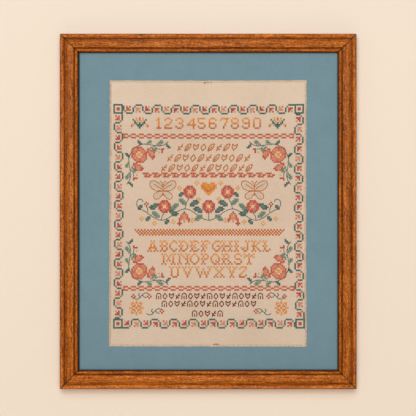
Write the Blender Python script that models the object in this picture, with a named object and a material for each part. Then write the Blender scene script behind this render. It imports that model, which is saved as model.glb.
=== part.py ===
"""Framed cross stitch sampler: four mitred oak mouldings round a window mat, a stitched cloth and a backing board.

Metres, +Z up. The picture faces -Y. The back faces of the rails lie on the plane y = 0, where the
frame hangs against its wall, and the origin is the middle of the top rail's back face.
"""
import math

import bmesh
import bpy
from mathutils import Matrix, Vector

# Outside of the frame and its moulding
FRAME_WIDTH = 0.335
FRAME_HEIGHT = 0.401
RAIL_WIDTH = 0.021
REBATE_WIDTH = 0.0055
REBATE_DEPTH = 0.008
MITRE_GAP = 0.0003

# Crown of the moulding: beads, hollow and band, each as a distance from the rail's outer edge and a height
# above the back plane
OUTER_BEAD_CENTRE = (0.0027, 0.0125)
OUTER_BEAD_RADIUS = 0.0027
OUTER_BEAD_END_DEGREES = 12
OUTER_GROOVE = (0.0057, 0.0121)
BAND_START = (0.0089, 0.0133)
BAND_RIDGE = (0.0149, 0.0141)
INNER_GROOVE = (0.0163, 0.0123)
INNER_BEAD_CENTRE = (0.0183, 0.0112)
INNER_BEAD_RADIUS = 0.0020
INNER_BEAD_START_DEGREES = 160
SIGHT_EDGE_HEIGHT = 0.0105
HOLLOW_SAG = 0.0002
BAND_CROWN = 0.00025
RIDGE_ROUND = 0.0003
ARC_STEPS = 9
CURVE_STEPS = 6
ROUND_STEPS = 4
CREASE_DEGREES = 35
WELD_DISTANCE = 1e-6
SAW_TOLERANCE = 1e-7

# What the frame holds, front to back, each layer a small gap behind the last
LAYER_GAP = 0.0003
MAT_THICKNESS = 0.0015
CLOTH_THICKNESS = 0.001
BOARD_THICKNESS = 0.003
WINDOW_WIDTH = 0.223
WINDOW_HEIGHT = 0.301
WINDOW_DROP = 0.0023
CLOTH_TURN_IN = 0.018
CUTTER_OVERRUN = 0.001

# Colours and finishes
OAK = ((0.38, 0.12, 0.03, 1.0), 0.42)
MAT_PAPER = ((0.17, 0.27, 0.31, 1.0), 0.9)
LINEN = ((0.68, 0.52, 0.38, 1.0), 0.95)
BROWN_BOARD = ((0.36, 0.24, 0.14, 1.0), 0.9)

SIGHT_WIDTH = FRAME_WIDTH - 2 * RAIL_WIDTH
SIGHT_HEIGHT = FRAME_HEIGHT - 2 * RAIL_WIDTH
PACK_WIDTH = SIGHT_WIDTH + 2 * (REBATE_WIDTH - LAYER_GAP)
PACK_HEIGHT = SIGHT_HEIGHT + 2 * (REBATE_WIDTH - LAYER_GAP)
FRAME_CENTRE_Z = RAIL_WIDTH / 2 - FRAME_HEIGHT / 2
WINDOW_CENTRE_Z = FRAME_CENTRE_Z - WINDOW_DROP
MAT_FRONT = REBATE_DEPTH - LAYER_GAP
MAT_BACK = MAT_FRONT - MAT_THICKNESS
CLOTH_FRONT = MAT_BACK - LAYER_GAP
CLOTH_BACK = CLOTH_FRONT - CLOTH_THICKNESS
BOARD_FRONT = CLOTH_BACK - LAYER_GAP
BOARD_BACK = BOARD_FRONT - BOARD_THICKNESS


def clear_scene():
    for obj in list(bpy.data.objects):
        bpy.data.objects.remove(obj, do_unlink=True)


def new_collection(name):
    collection = bpy.data.collections.new(name)
    bpy.context.scene.collection.children.link(collection)
    return collection


def new_material(name, colour_and_roughness):
    colour, roughness = colour_and_roughness
    material = bpy.data.materials.new(name)
    material.use_nodes = True
    material.diffuse_color = colour
    shader = material.node_tree.nodes["Principled BSDF"]
    shader.inputs["Base Color"].default_value = colour
    shader.inputs["Roughness"].default_value = roughness
    shader.inputs["Metallic"].default_value = 0.0
    return material


def arc(centre, radius, start_degrees, end_degrees, steps):
    """Points on an arc from one angle to the other, both ends included."""
    angles = [math.radians(start_degrees + (end_degrees - start_degrees) * i / steps) for i in range(steps + 1)]
    return [(centre[0] + radius * math.cos(a), centre[1] + radius * math.sin(a)) for a in angles]


def ease(start, end, bulge, steps):
    """Points between two ends, lifted in the middle by the bulge. Neither end is included."""
    points = []
    for i in range(1, steps):
        t = i / steps
        distance = start[0] + (end[0] - start[0]) * t
        height = start[1] + (end[1] - start[1]) * t + bulge * math.sin(math.pi * t)
        points.append((distance, height))
    return points


def moulding_outline():
    """The rail's section, as (distance from its outer edge, height above the back plane), once round."""
    outer_bead = arc(OUTER_BEAD_CENTRE, OUTER_BEAD_RADIUS, 180, OUTER_BEAD_END_DEGREES, ARC_STEPS)
    hollow = ease(OUTER_GROOVE, BAND_START, -HOLLOW_SAG, CURVE_STEPS)
    band = ease(BAND_START, BAND_RIDGE, BAND_CROWN, CURVE_STEPS)
    ridge_round = ease(BAND_RIDGE, INNER_GROOVE, RIDGE_ROUND, ROUND_STEPS)
    inner_bead = arc(INNER_BEAD_CENTRE, INNER_BEAD_RADIUS, INNER_BEAD_START_DEGREES, 0, ARC_STEPS)
    lip = [
        (RAIL_WIDTH, SIGHT_EDGE_HEIGHT),
        (RAIL_WIDTH, REBATE_DEPTH),
        (RAIL_WIDTH - REBATE_WIDTH, REBATE_DEPTH),
        (RAIL_WIDTH - REBATE_WIDTH, 0.0),
        (0.0, 0.0),
    ]
    crown = outer_bead + [OUTER_GROOVE] + hollow + [BAND_START] + band + [BAND_RIDGE] + ridge_round
    return crown + [INNER_GROOVE] + inner_bead + lip


def mesh_from_curve(curve_object):
    """A welded mesh of a filled curve. The curve itself is removed."""
    graph = bpy.context.evaluated_depsgraph_get()
    mesh = bpy.data.meshes.new_from_object(curve_object.evaluated_get(graph))
    bpy.data.objects.remove(curve_object, do_unlink=True)
    work = bmesh.new()
    work.from_mesh(mesh)
    bmesh.ops.remove_doubles(work, verts=work.verts, dist=WELD_DISTANCE)
    work.to_mesh(mesh)
    work.free()
    return mesh


def cut_end(work, point, outward):
    """Saws the rail along a plane and closes the cut."""
    everything = work.verts[:] + work.edges[:] + work.faces[:]
    cut = bmesh.ops.bisect_plane(
        work, geom=everything, dist=SAW_TOLERANCE, plane_co=point, plane_no=outward, clear_outer=True
    )
    edges = [item for item in cut["geom_cut"] if isinstance(item, bmesh.types.BMEdge)]
    bmesh.ops.holes_fill(work, edges=edges, sides=0)


def mitred_rail(name, length, turn_degrees, centre_distance, centre, collection, material):
    """One length of moulding with both ends mitred, turned about +Y into its place round the frame."""
    curve = bpy.data.curves.new(name + "_section", "CURVE")
    curve.dimensions = "2D"
    curve.fill_mode = "BOTH"
    curve.extrude = length / 2
    spline = curve.splines.new("POLY")
    outline = moulding_outline()
    spline.points.add(len(outline) - 1)
    for point, (distance, height) in zip(spline.points, outline):
        point.co = (distance, height, 0.0, 1.0)
    spline.use_cyclic_u = True
    section = bpy.data.objects.new(name + "_section", curve)
    collection.objects.link(section)
    bpy.context.view_layer.update()
    mesh = mesh_from_curve(section)
    mesh.name = name

    work = bmesh.new()
    work.from_mesh(mesh)
    # Each cut leans at 45 degrees and takes half of the joint's gap, measured square to it
    half = length / 2 - MITRE_GAP / 2 * math.sqrt(2)
    cut_end(work, Vector((0.0, 0.0, half)), Vector((1.0, 0.0, 1.0)).normalized())
    cut_end(work, Vector((0.0, 0.0, -half)), Vector((1.0, 0.0, -1.0)).normalized())
    bmesh.ops.recalc_face_normals(work, faces=work.faces)
    work.to_mesh(mesh)
    work.free()

    rail = bpy.data.objects.new(name, mesh)
    collection.objects.link(rail)
    mesh.materials.clear()
    mesh.materials.append(material)
    mesh.shade_smooth()
    mesh.set_sharp_from_angle(angle=math.radians(CREASE_DEGREES))
    # The section's own axes in the bottom rail: towards the frame's middle, towards the front, along the rail
    upright = Matrix((
        (0.0, 0.0, 1.0),
        (0.0, -1.0, 0.0),
        (1.0, 0.0, 0.0),
    ))
    turn = Matrix.Rotation(math.radians(turn_degrees), 3, "Y")
    rail.rotation_euler = (turn @ upright).to_euler()
    rail.location = turn @ Vector((0.0, 0.0, -centre_distance))
    rail.parent = centre
    return rail


def cuboid(name, width, height, front, back, centre_z, collection, material):
    """A flat layer, from its front height to its back height above the back plane."""
    bpy.ops.mesh.primitive_cube_add(size=1.0, location=(0.0, -(front + back) / 2, centre_z))
    layer = bpy.context.object
    layer.name = name
    layer.data.name = name
    layer.scale = (width, front - back, height)
    bpy.ops.object.transform_apply(location=False, rotation=False, scale=True)
    for owner in list(layer.users_collection):
        owner.objects.unlink(layer)
    collection.objects.link(layer)
    if material:
        layer.data.materials.append(material)
    return layer


def window_cutter(collection):
    """The mat's window with its slanted edge: it opens towards the front by the mat's own thickness each side."""
    front = MAT_FRONT + CUTTER_OVERRUN
    back = MAT_BACK - CUTTER_OVERRUN
    cutter = cuboid("window_cutter", WINDOW_WIDTH, WINDOW_HEIGHT, front, back, WINDOW_CENTRE_Z, collection, None)
    for vertex in cutter.data.vertices:
        height = -(vertex.co.y + cutter.location.y)
        spread = height - MAT_FRONT
        vertex.co.x += math.copysign(spread, vertex.co.x)
        vertex.co.z += math.copysign(spread, vertex.co.z)
    cutter.hide_render = True
    cutter.display_type = "WIRE"
    return cutter


def build_frame(collection, centre):
    oak = new_material("oak_moulding", OAK)
    for name, length, turn_degrees, centre_distance in (
        ("rail_bottom", FRAME_WIDTH, 0, FRAME_HEIGHT / 2),
        ("rail_left", FRAME_HEIGHT, 90, FRAME_WIDTH / 2),
        ("rail_top", FRAME_WIDTH, 180, FRAME_HEIGHT / 2),
        ("rail_right", FRAME_HEIGHT, 270, FRAME_WIDTH / 2),
    ):
        mitred_rail(name, length, turn_degrees, centre_distance, centre, collection, oak.copy())


def build_contents(collection, cutters):
    paper = new_material("mat_paper", MAT_PAPER)
    window_mat = cuboid("window_mat", PACK_WIDTH, PACK_HEIGHT, MAT_FRONT, MAT_BACK, FRAME_CENTRE_Z, collection, paper)
    window = window_mat.modifiers.new("window", "BOOLEAN")
    window.operation = "DIFFERENCE"
    window.solver = "EXACT"
    window.object = window_cutter(cutters)

    linen = new_material("stitched_linen", LINEN)
    cloth_width = WINDOW_WIDTH + 2 * CLOTH_TURN_IN
    cloth_height = WINDOW_HEIGHT + 2 * CLOTH_TURN_IN
    cuboid("stitched_cloth", cloth_width, cloth_height, CLOTH_FRONT, CLOTH_BACK, WINDOW_CENTRE_Z, collection, linen)

    board = new_material("backing_board", BROWN_BOARD)
    cuboid("backing_board", PACK_WIDTH, PACK_HEIGHT, BOARD_FRONT, BOARD_BACK, FRAME_CENTRE_Z, collection, board)


clear_scene()
sampler = new_collection("framed_cross_stitch_sampler")
cutters = new_collection("cutters")
frame_centre = bpy.data.objects.new("frame_centre", None)
frame_centre.location = (0.0, 0.0, FRAME_CENTRE_Z)
sampler.objects.link(frame_centre)
build_frame(sampler, frame_centre)
build_contents(sampler, cutters)
bpy.context.view_layer.update()
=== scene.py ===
"""Framed cross stitch sampler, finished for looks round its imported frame.

Metres, +Z up. The picture faces -Y, and the frame hangs with its back on the plane y = 0.
"""
import math

import bpy
import numpy as np
from mathutils import Matrix, Vector


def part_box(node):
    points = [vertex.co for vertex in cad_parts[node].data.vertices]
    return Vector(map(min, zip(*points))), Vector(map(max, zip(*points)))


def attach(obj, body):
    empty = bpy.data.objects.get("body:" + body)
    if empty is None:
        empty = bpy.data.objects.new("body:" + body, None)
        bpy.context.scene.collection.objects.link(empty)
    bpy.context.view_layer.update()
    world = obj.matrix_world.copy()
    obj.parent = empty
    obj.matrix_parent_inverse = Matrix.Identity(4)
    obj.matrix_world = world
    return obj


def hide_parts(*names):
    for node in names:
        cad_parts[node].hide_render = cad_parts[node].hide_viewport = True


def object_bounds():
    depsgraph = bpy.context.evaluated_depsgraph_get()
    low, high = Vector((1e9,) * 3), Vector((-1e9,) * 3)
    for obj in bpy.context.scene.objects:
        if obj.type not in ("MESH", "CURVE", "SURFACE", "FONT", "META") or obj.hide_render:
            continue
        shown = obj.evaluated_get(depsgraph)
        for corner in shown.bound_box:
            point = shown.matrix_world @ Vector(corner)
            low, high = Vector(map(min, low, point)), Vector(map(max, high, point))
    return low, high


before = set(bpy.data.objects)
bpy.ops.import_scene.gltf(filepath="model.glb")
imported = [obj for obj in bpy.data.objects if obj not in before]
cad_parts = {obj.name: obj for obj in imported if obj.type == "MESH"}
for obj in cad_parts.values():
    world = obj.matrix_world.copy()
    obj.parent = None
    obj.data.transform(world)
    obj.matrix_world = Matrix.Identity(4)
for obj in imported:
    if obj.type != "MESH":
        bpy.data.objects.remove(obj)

cad_low, cad_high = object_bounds()
middle_x = (cad_low.x + cad_high.x) / 2
middle_z = (cad_low.z + cad_high.z) / 2
bpy.ops.object.select_all(action="DESELECT")

# Camera: square to the picture and level, its axis a little above the frame's middle.
# A long lens keeps the mouldings' inner sides nearly out of sight, as they are in the photograph.
LENS_MM = 100.0
SENSOR_MM = 36.0
SEEN_WIDTH = 0.4695
AIM_LEFT = 0.0002
AIM_ABOVE_MIDDLE = 0.0038
OUTLINE_DEPTH = 0.0125

camera_data = bpy.data.cameras.new("camera")
camera_data.lens = LENS_MM
camera_data.sensor_width = SENSOR_MM
camera = bpy.data.objects.new("camera", camera_data)
bpy.context.scene.collection.objects.link(camera)
camera_distance = OUTLINE_DEPTH + SEEN_WIDTH * LENS_MM / SENSOR_MM
camera.location = (middle_x - AIM_LEFT, -camera_distance, middle_z + AIM_ABOVE_MIDDLE)
camera.rotation_euler = (math.radians(90), 0, 0)
bpy.context.scene.camera = camera
bpy.context.scene.view_settings.view_transform = "Standard"

# Backing board: a sheet of brown hardboard, sawn to the rebate, that presses the cloth against the mat.
# Its pressed wood fibres show on the bare back.
BOARD_PALE = (150, 112, 76)
BOARD_DARK = (112, 78, 50)
BOARD_FLECK = (84, 56, 36)


def linear(red, green, blue):
    """A screen colour, 0 to 255, as the linear light that a shader takes."""
    shares = [value / 255 for value in (red, green, blue)]
    return tuple(s / 12.92 if s <= 0.04045 else ((s + 0.055) / 1.055) ** 2.4 for s in shares) + (1.0,)


def surface(name, roughness, specular=0.5):
    """A new material and its node tree and shader."""
    material = bpy.data.materials.new(name)
    material.use_nodes = True
    tree = material.node_tree
    shader = tree.nodes["Principled BSDF"]
    shader.inputs["Roughness"].default_value = roughness
    shader.inputs["Specular IOR Level"].default_value = specular
    return material, tree, shader


def add(tree, kind, sockets, output=0, **settings):
    """Adds a node whose sockets get a value or another node's output, and returns one of its own outputs."""
    node = tree.nodes.new(kind)
    for name, value in settings.items():
        setattr(node, name, value)
    for name, value in sockets.items():
        if isinstance(value, bpy.types.NodeSocket):
            tree.links.new(value, node.inputs[name])
        else:
            node.inputs[name].default_value = value
    return node.outputs[output]


def maths(tree, operation, first, second=0.0, third=0.0):
    return add(tree, "ShaderNodeMath", {0: first, 1: second, 2: third}, operation=operation)


def mix(tree, share, first, second, blend="MIX"):
    """A colour between two, or the second laid over the first by a blend."""
    sockets = {0: share, 6: first, 7: second}
    return add(tree, "ShaderNodeMix", sockets, output=2, data_type="RGBA", blend_type=blend)


def ramp(tree, value, *stops):
    """A colour that changes with a value through stops, each a place from 0 to 1 and a colour."""
    node = tree.nodes.new("ShaderNodeValToRGB")
    elements = node.color_ramp.elements
    while len(elements) < len(stops):
        elements.new(0.5)
    for element, (place, colour) in zip(elements, stops):
        element.position = place
        element.color = colour
    tree.links.new(value, node.inputs[0])
    return node.outputs[0]


def grey(share):
    return (share, share, share, 1.0)


def places(tree, scale=(1, 1, 1), shift=(0, 0, 0), turn=(0, 0, 0)):
    """The piece's own coordinates, in metres times the scale."""
    sockets = {
        "Vector": add(tree, "ShaderNodeTexCoord", {}, output=3),
        "Scale": scale,
        "Location": shift,
        "Rotation": turn,
    }
    return add(tree, "ShaderNodeMapping", sockets)


def noise(tree, vector, scale, detail=3.0, roughness=0.55):
    sockets = {"Vector": vector, "Scale": scale, "Detail": detail, "Roughness": roughness}
    return add(tree, "ShaderNodeTexNoise", sockets)


def relief(tree, shader, height, depth, strength=1.0):
    """Raises a height pattern, the depth in metres, on the shader's surface."""
    bump = add(tree, "ShaderNodeBump", {"Height": height, "Distance": depth, "Strength": strength})
    tree.links.new(bump, shader.inputs["Normal"])


def dress(piece, *materials):
    """Replaces the piece's materials."""
    piece.data.materials.clear()
    for material in materials:
        piece.data.materials.append(material)


hardboard, tree, shader = surface("hardboard", 0.85, 0.25)
fibres = noise(tree, places(tree, (1, 1, 1)), 1400, 6.0, 0.7)
clouds = noise(tree, places(tree), 45, 3.0)
flecks = noise(tree, places(tree, (1, 1, 3.5)), 900, 2.0)
board_colour = mix(tree, fibres, linear(*BOARD_PALE), linear(*BOARD_DARK))
fleck_share = ramp(tree, flecks, (0.62, grey(0)), (0.72, grey(0.6)))
board_colour = mix(tree, fleck_share, board_colour, linear(*BOARD_FLECK))
cloud_shade = ramp(tree, clouds, (0.3, grey(0.88)), (0.7, grey(1.06)))
board_colour = mix(tree, 1.0, board_colour, cloud_shade, "MULTIPLY")
tree.links.new(board_colour, shader.inputs["Base Color"])
relief(tree, shader, fibres, 0.0003, 0.6)
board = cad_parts["backing_board"]
board.material_slots[0].material = hardboard

# Cloth: a rectangle of pale cotton evenweave, fourteen blocks of threads to the inch, stretched flat.
# Each block is a small pillow, with a needle hole at each of its corners, and the cloth has toned with age. Painted
# shade makes it darker towards the chart's foot.
PITCH_ACROSS = 0.0017956
PITCH_DOWN = 0.0018312
CHART_COLUMNS = 120
CHART_ROWS = 138
CHART_RIGHT_OF_MIDDLE = 0.0007
CHART_BELOW_MIDDLE = 0.0055
BLOCKS_BESIDE_CHART = 3
BLOCKS_ABOVE_CHART = 15
BLOCKS_BELOW_CHART = 12
CLOTH_THICKNESS = 0.0006
HOLE_DEPTH = 0.00022
GROOVE_DEPTH = 0.00006
PUCKER = 0.00010
PUCKERS_ACROSS = 9
PUCKERS_DOWN = 11
THREADS_IN_BLOCK = 4
# How the cloth was drawn out as it was stretched: its width spreads at the top and bottom and is drawn in between,
# each a share of the way across times these metres for 1, down and down squared, from the middle
SPREAD = (-0.00037, 0.00036, 0.00117)
LEAN = (-0.00008, 0.00019, 0.00014)
CORNER_LIFT = 0.0011
FOOT_DROP = 0.00113
HELD_EDGE = 0.012
CLOTH_PALE = (232, 208, 185)
CLOTH_TONED = (225, 200, 176)
CLOTH_EDGE = (186, 146, 112)
EDGE_TONE_WIDTH = 0.0024
# Painted shade on the cloth, from the chart's foot at 0 to its top at 1: darkest at the foot, lightest at the top, a
# little pinker between the two
CLOTH_PAINTED_SHADE = (
    (0.0, (0.92, 0.91, 0.905, 1.0)), (0.5, (0.95, 0.918, 0.906, 1.0)), (0.90, (0.935, 0.905, 0.886, 1.0)),
    (0.97, (0.955, 0.94, 0.93, 1.0)), (1.0, (0.995, 0.995, 0.995, 1.0)),
)

cloth_low, cloth_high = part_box("stitched_cloth")
cloth_face = cloth_low.y
chart_left = middle_x + CHART_RIGHT_OF_MIDDLE - PITCH_ACROSS * CHART_COLUMNS / 2
chart_top = middle_z - CHART_BELOW_MIDDLE + PITCH_DOWN * CHART_ROWS / 2


def hole_lines(first, last, start, step, low, high):
    """Places of the cloth's grid lines, two to a block, with one more at each edge of the cloth."""
    lines = [start + step * half / 2 for half in range(2 * first, 2 * last + 1)]
    return np.array(sorted([low] + lines + [high]))


lines_across = hole_lines(
    -BLOCKS_BESIDE_CHART, CHART_COLUMNS + BLOCKS_BESIDE_CHART, chart_left, PITCH_ACROSS, cloth_low.x, cloth_high.x
)
lines_down = hole_lines(
    -BLOCKS_ABOVE_CHART, CHART_ROWS + BLOCKS_BELOW_CHART, chart_top, -PITCH_DOWN, cloth_low.z, cloth_high.z
)
def drawn_out(x, z):
    """Where a place of the flat cloth lies once it is stretched. Its cut edges stay where they are."""
    across = np.clip((x - chart_left) / (PITCH_ACROSS * CHART_COLUMNS) * 2 - 1, -1.2, 1.2)
    down = np.clip((chart_top - z) / (PITCH_DOWN * CHART_ROWS) * 2 - 1, -1.25, 1.25)
    right = across * (SPREAD[0] + SPREAD[1] * down + SPREAD[2] * down ** 2)
    right = right + LEAN[0] + LEAN[1] * down + LEAN[2] * down ** 2
    up = np.where(down < 0, CORNER_LIFT * across ** 2 * down ** 2, -FOOT_DROP * np.abs(down) ** 3)
    to_side = np.minimum(x - cloth_low.x, cloth_high.x - x)
    to_end = np.minimum(z - cloth_low.z, cloth_high.z - z)
    free = np.clip(np.minimum(to_side, to_end) / HELD_EDGE, 0, 1)
    return x + right * free, z + up * free


bpy.ops.mesh.primitive_grid_add(
    x_subdivisions=len(lines_across) - 1, y_subdivisions=len(lines_down) - 1, size=1.0,
    rotation=(math.radians(90), 0, 0),
)
cloth = bpy.context.object
cloth.name = cloth.data.name = "cloth"
bpy.ops.object.transform_apply(location=False, rotation=True, scale=False)
points = np.empty(len(cloth.data.vertices) * 3)
cloth.data.vertices.foreach_get("co", points)
points = points.reshape(-1, 3)
column_index = np.rint((points[:, 0] + 0.5) * (len(lines_across) - 1)).astype(int)
row_index = np.rint((points[:, 2] + 0.5) * (len(lines_down) - 1)).astype(int)
points[:, 0] = lines_across[column_index]
points[:, 2] = lines_down[row_index]
# The first and last lines are the cut edges. Between them every other line, from the second on, runs through holes
on_hole_column = column_index % 2 == 1
on_hole_row = row_index % 2 == 1
inside = (column_index > 0) & (column_index < len(lines_across) - 1)
inside &= (row_index > 0) & (row_index < len(lines_down) - 1)
across_share = (points[:, 0] - cloth_low.x) / (cloth_high.x - cloth_low.x)
down_share = (points[:, 2] - cloth_low.z) / (cloth_high.z - cloth_low.z)
waves = np.sin(math.pi * PUCKERS_ACROSS * across_share + 1.7 * np.sin(7 * down_share))
waves *= np.sin(math.pi * PUCKERS_DOWN * down_share + 1.3 * np.sin(9 * across_share))
depth = np.where(on_hole_column & on_hole_row, HOLE_DEPTH, 0.0)
depth += np.where(on_hole_column ^ on_hole_row, GROOVE_DEPTH, 0.0)
depth += PUCKER * (0.5 + 0.5 * waves)
points[:, 1] = cloth_face + np.where(inside, depth, PUCKER)
blocks = np.stack([(points[:, 0] - chart_left) / PITCH_ACROSS, (points[:, 2] - chart_top) / PITCH_DOWN], axis=1)
points[:, 0], points[:, 2] = drawn_out(points[:, 0], points[:, 2])
cloth.data.vertices.foreach_set("co", points.ravel())
block_map = cloth.data.uv_layers.new(name="blocks")
loop_points = np.empty(len(cloth.data.loops), dtype=np.int32)
cloth.data.loops.foreach_get("vertex_index", loop_points)
block_map.data.foreach_set("uv", blocks[loop_points].ravel())
bpy.ops.object.mode_set(mode="EDIT")
bpy.ops.mesh.select_all(action="DESELECT")
bpy.ops.mesh.select_mode(type="EDGE")
bpy.ops.mesh.select_non_manifold()
bpy.ops.mesh.extrude_edges_move(TRANSFORM_OT_translate={"value": (0, CLOTH_THICKNESS, 0)})
bpy.ops.mesh.edge_face_add()
bpy.ops.mesh.select_all(action="SELECT")
bpy.ops.mesh.normals_make_consistent(inside=False)
bpy.ops.object.mode_set(mode="OBJECT")
bpy.ops.object.shade_smooth_by_angle(angle=math.radians(50))

evenweave, tree, shader = surface("evenweave", 0.95, 0.15)
in_blocks = add(tree, "ShaderNodeUVMap", {}, uv_map="blocks")
parts = add(tree, "ShaderNodeSeparateXYZ", {0: in_blocks}).node
warp_turn = maths(tree, "MULTIPLY", parts.outputs[0], math.pi * THREADS_IN_BLOCK)
weft_turn = maths(tree, "MULTIPLY", parts.outputs[1], math.pi * THREADS_IN_BLOCK)
warp = maths(tree, "SINE", warp_turn)
weft = maths(tree, "SINE", weft_turn)
over_and_under = maths(tree, "GREATER_THAN", maths(tree, "MULTIPLY", warp, weft), 0.0)
thread_round = mix(tree, over_and_under, maths(tree, "ABSOLUTE", warp), maths(tree, "ABSOLUTE", weft))
fluff = noise(tree, places(tree), 2600, 4.0, 0.6)
weave_height = maths(tree, "MULTIPLY_ADD", fluff, 0.5, thread_round)
patches = noise(tree, places(tree), 14, 3.0)
slubs = noise(tree, places(tree, (1, 1, 9)), 160, 2.0)
cloth_colour = mix(
    tree, ramp(tree, patches, (0.3, grey(0)), (0.7, grey(1))), linear(*CLOTH_PALE), linear(*CLOTH_TONED)
)
cloth_colour = mix(
    tree, 1.0, cloth_colour, ramp(tree, slubs, (0.3, grey(0.95)), (0.7, grey(1.03))), "MULTIPLY"
)
cloth_colour = mix(
    tree, 1.0, cloth_colour, ramp(tree, thread_round, (0.0, grey(0.8)), (0.6, grey(1.0))), "MULTIPLY"
)
# Painted shade: the cloth darker towards the chart's foot
height = add(tree, "ShaderNodeMapRange", {"Value": parts.outputs[1], "From Min": -CHART_ROWS, "From Max": 0.0})
painted_shade_by_height = ramp(tree, height, *CLOTH_PAINTED_SHADE)
cloth_colour = mix(tree, 1.0, cloth_colour, painted_shade_by_height, "MULTIPLY")
# Browner in blotches near the mat's cut edge: how far a place lies from the window's middle, less half the window
mat_low, mat_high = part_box("window_mat")
WINDOW_WIDTH = 0.223
WINDOW_HEIGHT = 0.301
WINDOW_BELOW_MIDDLE = 0.0023
window_z = middle_z - WINDOW_BELOW_MIDDLE
plain = add(tree, "ShaderNodeSeparateXYZ", {0: places(tree)}).node
beside = maths(tree, "ABSOLUTE", maths(tree, "SUBTRACT", plain.outputs[0], middle_x))
above = maths(tree, "ABSOLUTE", maths(tree, "SUBTRACT", plain.outputs[2], window_z))
beside = maths(tree, "SUBTRACT", beside, WINDOW_WIDTH / 2)
above = maths(tree, "SUBTRACT", above, WINDOW_HEIGHT / 2)
to_edge = maths(tree, "MAXIMUM", beside, above)
blotches = noise(tree, places(tree), 260, 4.0, 0.65)
to_edge = maths(tree, "MULTIPLY_ADD", blotches, EDGE_TONE_WIDTH, to_edge)
edge_share = maths(tree, "DIVIDE", maths(tree, "ADD", to_edge, EDGE_TONE_WIDTH), EDGE_TONE_WIDTH * 2)
edge_share = ramp(tree, edge_share, (0.3, grey(0)), (0.8, grey(0.42)))
cloth_colour = mix(tree, edge_share, cloth_colour, linear(*CLOTH_EDGE))
tree.links.new(cloth_colour, shader.inputs["Base Color"])
shader.inputs["Sheen Weight"].default_value = 0.15
relief(tree, shader, weave_height, 0.00009, 0.7)
dress(cloth, evenweave)
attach(cloth, "root")
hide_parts("stitched_cloth")

# Border: a green wave that runs all the way round, with a three cornered bud in each of its bends.
# It is worked in cross stitch, two strands of cotton in and out of the cloth's holes, and turns round corner rings.
STRAND_SECTION = ((-0.5, 0.0), (-0.3, 0.42), (0.0, 0.3), (0.3, 0.42), (0.5, 0.0))
STRAND_PARTS = 4
STRAND_STATIONS = (0.0, 0.2, 0.5, 0.8, 1.0)
STRAND_RISE = (-0.25, 0.85, 1.0, 0.85, -0.25)
STRAND_FULLNESS = (0.42, 0.90, 1.0, 0.90, 0.42)
STRAND_CROSSING = (0.0, 0.45, 1.0, 0.45, 0.0)
CROSS_WIDTH = 0.00098
CROSS_THICKNESS = 0.0004
CROSS_RISE = 0.00022
CROSSING_LIFT = 0.00026
SHADE_SPREAD = 0.10
PLACE_SPREAD = 0.00005
WIDTH_SPREAD = 0.10

PINE = linear(76, 109, 101)
TEAL = linear(106, 137, 123)
SAGE = linear(132, 156, 132)
BRICK = linear(197, 79, 67)
RED = linear(213, 103, 79)
CORAL = linear(231, 155, 125)
SALMON = linear(232, 130, 108)
GOLD = linear(239, 174, 100)
STRAW = linear(248, 212, 156)
AMBER = linear(243, 158, 70)
RUST = linear(216, 116, 28)
TAN = linear(200, 108, 34)
UMBER = linear(122, 32, 0)
ECRU = linear(214, 194, 168)
DYES = {
    "P": PINE, "T": TEAL, "S": SAGE, "D": BRICK, "R": RED, "C": CORAL, "L": SALMON,
    "G": GOLD, "Y": STRAW, "A": AMBER, "U": RUST, "E": ECRU,
}

# One strand pair, lying along X: a five sided bar, subdivided along its length, then arched and pinched at its ends
bpy.ops.mesh.primitive_cylinder_add(vertices=len(STRAND_SECTION), radius=0.5, depth=1.0, rotation=(0, math.pi / 2, 0))
bar = bpy.context.object
bpy.ops.object.transform_apply(location=False, rotation=True, scale=False)
for edge in bar.data.edges:
    ends = [bar.data.vertices[index].co.x for index in edge.vertices]
    edge.select = abs(ends[0] - ends[1]) > 0.5
for face in bar.data.polygons:
    face.select = False
for vertex in bar.data.vertices:
    vertex.select = False
bpy.ops.object.mode_set(mode="EDIT")
bpy.ops.mesh.select_mode(type="EDGE")
bpy.ops.object.mode_set(mode="OBJECT")
for edge in bar.data.edges:
    ends = [bar.data.vertices[index].co.x for index in edge.vertices]
    edge.select = abs(ends[0] - ends[1]) > 0.5
bpy.ops.object.mode_set(mode="EDIT")
bpy.ops.mesh.subdivide(number_cuts=STRAND_PARTS - 1)
bpy.ops.mesh.select_all(action="SELECT")
bpy.ops.mesh.normals_make_consistent(inside=False)
bpy.ops.object.mode_set(mode="OBJECT")
bar_points = np.array([vertex.co for vertex in bar.data.vertices])
station = np.rint((bar_points[:, 0] + 0.5) * STRAND_PARTS).astype(int)
turn = np.arctan2(bar_points[:, 2], bar_points[:, 1])
corner = np.rint((turn - turn.min()) / (2 * math.pi / len(STRAND_SECTION))).astype(int) % len(STRAND_SECTION)
strand_along = np.array(STRAND_STATIONS)[station]
strand_across = np.array(STRAND_SECTION)[corner, 0] * np.array(STRAND_FULLNESS)[station]
strand_height = np.array(STRAND_SECTION)[corner, 1] * np.array(STRAND_FULLNESS)[station]
strand_rise = np.array(STRAND_RISE)[station]
strand_crossing = np.array(STRAND_CROSSING)[station]
bar_corners = np.concatenate([np.array(face.vertices) for face in bar.data.polygons])
bar_sizes = np.array([len(face.vertices) for face in bar.data.polygons])
bpy.data.objects.remove(bar, do_unlink=True)
draw = np.random.default_rng(14)

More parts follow.
